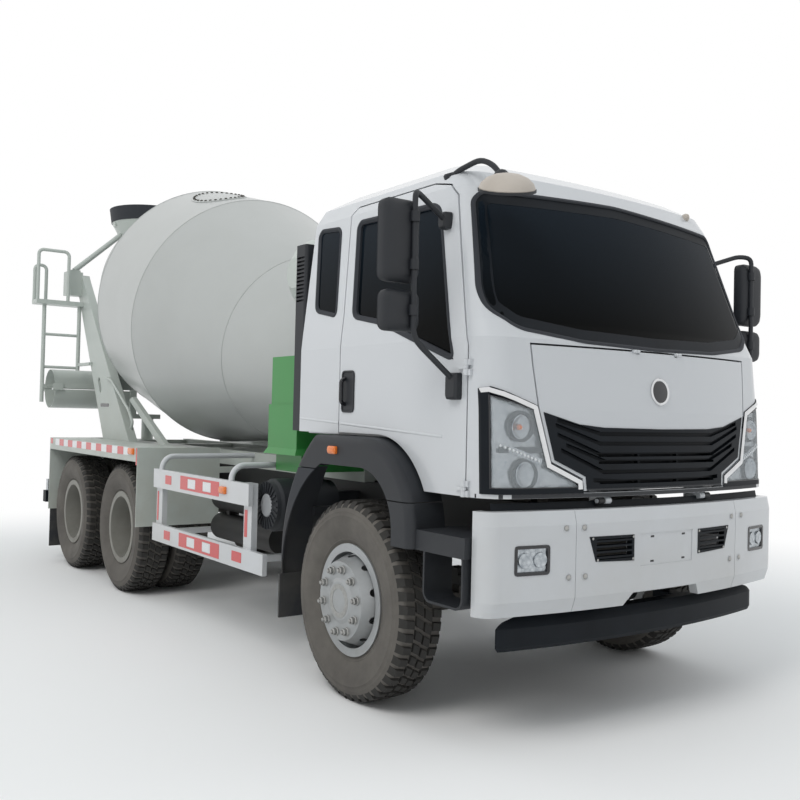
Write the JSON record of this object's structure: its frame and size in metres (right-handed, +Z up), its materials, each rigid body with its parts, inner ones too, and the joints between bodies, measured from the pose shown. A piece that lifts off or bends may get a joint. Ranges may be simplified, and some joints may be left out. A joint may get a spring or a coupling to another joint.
{
  "type": "concrete mixer truck",
  "caption": "Concrete mixer truck: tilting cab-over cab, turning drum on a ring and rollers, charging hopper and swinging discharge chute.",
  "frame": {"origin": "on the ground under the middle of the truck's whole length and width", "axes": "+X forward along the truck, +Y to its left, +Z up"},
  "size_m": [7.82, 2.9, 3.7497],
  "materials": {
    "cab_white": "gloss",
    "drum_white": "satin",
    "body_grey": "satin",
    "cabinet_green": "satin",
    "chassis_black": "satin",
    "dark_plastic": "matte",
    "wheel_silver": "satin",
    "tyre": "matte",
    "cast_grey": "matte",
    "steel": "brushed",
    "glass": "polished",
    "lamp_lens": "gloss",
    "rubber": "matte",
    "seat_fabric": "woven"
  },
  "bodies": {
    "chassis": {"chassis_frame": "chassis_black", "sub_frame": "body_grey", "engine": "cast_grey", "driveline": "cast_grey", "axles": "cast_grey", "leaf_springs": "chassis_black", "bumper": "cab_white", "bumper_vents": "dark_plastic", "underrun_bars": "chassis_black", "bumper_lamps": "lamp_lens", "steps": "dark_plastic", "mud_flaps": "rubber", "side_guards": "cab_white", "side_tanks": "chassis_black", "air_filter": "dark_plastic", "tool_cabinet": "cabinet_green", "water_tank": "body_grey", "drum_gearbox": "cast_grey", "drum_supports": "body_grey", "rear_mudguards": "body_grey", "ladder": "body_grey", "hopper": "body_grey", "hopper_rim": "rubber", "discharge_funnel": "body_grey"},
    "cab": {"cab_shell": "cab_white", "cab_glass": "glass", "headlamps": "lamp_lens", "cab_flares": "dark_plastic", "seats": "seat_fabric", "dashboard": "dark_plastic", "intake_stack": "dark_plastic", "front_mirror": "dark_plastic"},
    "door_right": {"door_right": "cab_white", "door_glass_right": "glass", "mirror_right": "dark_plastic"},
    "door_left": {"door_left": "cab_white", "door_glass_left": "glass", "mirror_left": "dark_plastic"},
    "front_lid": {"front_lid": "cab_white", "grille": "dark_plastic"},
    "knuckle_right": {"knuckle_right": "cast_grey"},
    "knuckle_left": {"knuckle_left": "cast_grey"},
    "wheel_front_right": {"tyre_front_right": "tyre", "rim_front_right": "wheel_silver"},
    "wheel_front_left": {"tyre_front_left": "tyre", "rim_front_left": "wheel_silver"},
    "wheel_middle_right": {"tyre_middle_right": "tyre", "rim_middle_right": "wheel_silver"},
    "wheel_middle_left": {"tyre_middle_left": "tyre", "rim_middle_left": "wheel_silver"},
    "wheel_rear_right": {"tyre_rear_right": "tyre", "rim_rear_right": "wheel_silver"},
    "wheel_rear_left": {"tyre_rear_left": "tyre", "rim_rear_left": "wheel_silver"},
    "drum": {"drum": "drum_white"},
    "roller_right": {"roller_right": "steel"},
    "roller_left": {"roller_left": "steel"},
    "swivel_arm": {"swivel_arm": "body_grey"},
    "main_chute": {"main_chute": "body_grey"},
    "chute_extension": {"chute_extension": "body_grey"}
  },
  "joints": [
    {"name": "cab_tilt", "type": "hinge", "parent": "chassis", "child": "cab", "pos_m": [3.795, 0, 1.118], "axis": [0, 1, 0], "range_deg": [0, 45]},
    {"name": "door_right_swing", "type": "hinge", "parent": "cab", "child": "door_right", "pos_m": [3.566, -1.0733, 1.46], "axis": [0, 0, 1], "range_deg": [0, 65]},
    {"name": "door_left_swing", "type": "hinge", "parent": "cab", "child": "door_left", "pos_m": [3.566, 1.0733, 1.46], "axis": [0, 0, -1], "range_deg": [0, 65]},
    {"name": "front_lid_lift", "type": "hinge", "parent": "cab", "child": "front_lid", "pos_m": [3.791, 0, 1.853], "axis": [0, -1, 0], "range_deg": [0, 60]},
    {"name": "steer_right", "type": "hinge", "parent": "chassis", "child": "knuckle_right", "pos_m": [2.7, -0.85, 0.526], "axis": [0, 0, 1], "range_deg": [-32, 32]},
    {"name": "steer_left", "type": "hinge", "parent": "chassis", "child": "knuckle_left", "pos_m": [2.7, 0.85, 0.526], "axis": [0, 0, 1], "range_deg": [-32, 32]},
    {"name": "roll_front_right", "type": "hinge", "parent": "knuckle_right", "child": "wheel_front_right", "pos_m": [2.7, -1.021, 0.526], "axis": [0, 1, 0], "continuous": true},
    {"name": "roll_front_left", "type": "hinge", "parent": "knuckle_left", "child": "wheel_front_left", "pos_m": [2.7, 1.021, 0.526], "axis": [0, 1, 0], "continuous": true},
    {"name": "roll_middle_right", "type": "hinge", "parent": "chassis", "child": "wheel_middle_right", "pos_m": [-0.8, -0.9, 0.526], "axis": [0, 1, 0], "continuous": true},
    {"name": "roll_middle_left", "type": "hinge", "parent": "chassis", "child": "wheel_middle_left", "pos_m": [-0.8, 0.9, 0.526], "axis": [0, 1, 0], "continuous": true},
    {"name": "roll_rear_right", "type": "hinge", "parent": "chassis", "child": "wheel_rear_right", "pos_m": [-2.15, -0.9, 0.526], "axis": [0, 1, 0], "continuous": true},
    {"name": "roll_rear_left", "type": "hinge", "parent": "chassis", "child": "wheel_rear_left", "pos_m": [-2.15, 0.9, 0.526], "axis": [0, 1, 0], "continuous": true},
    {"name": "drum_turn", "type": "hinge", "parent": "chassis", "child": "drum", "pos_m": [-0.2, 0, 2.135], "axis": [0.9659, 0, -0.2588], "continuous": true},
    {"name": "roller_right_turn", "type": "hinge", "parent": "chassis", "child": "roller_right", "pos_m": [-2.65564, -0.61892, 1.97285], "axis": [0.9659, 0, -0.2588], "continuous": true},
    {"name": "roller_left_turn", "type": "hinge", "parent": "chassis", "child": "roller_left", "pos_m": [-2.65564, 0.61892, 1.97285], "axis": [0.9659, 0, -0.2588], "continuous": true},
    {"name": "chute_swivel", "type": "hinge", "parent": "chassis", "child": "swivel_arm", "pos_m": [-3.45, 0, 1.3], "axis": [0, 0, -1], "range_deg": [0, 180]},
    {"name": "chute_tilt", "type": "hinge", "parent": "swivel_arm", "child": "main_chute", "pos_m": [-3.45, -0.25, 1.7], "axis": [1, 0, 0], "range_deg": [0, 25]},
    {"name": "extension_fold", "type": "hinge", "parent": "main_chute", "child": "chute_extension", "pos_m": [-3.45, -1.083, 1.706], "axis": [1, 0, 0], "range_deg": [0, 180]}
  ],
  "couplings": [
    {"joint": "steer_left", "follows": "steer_right", "ratio": 1},
    {"joint": "roller_right_turn", "follows": "drum_turn", "ratio": -7.04},
    {"joint": "roller_left_turn", "follows": "drum_turn", "ratio": -7.04}
  ]
}
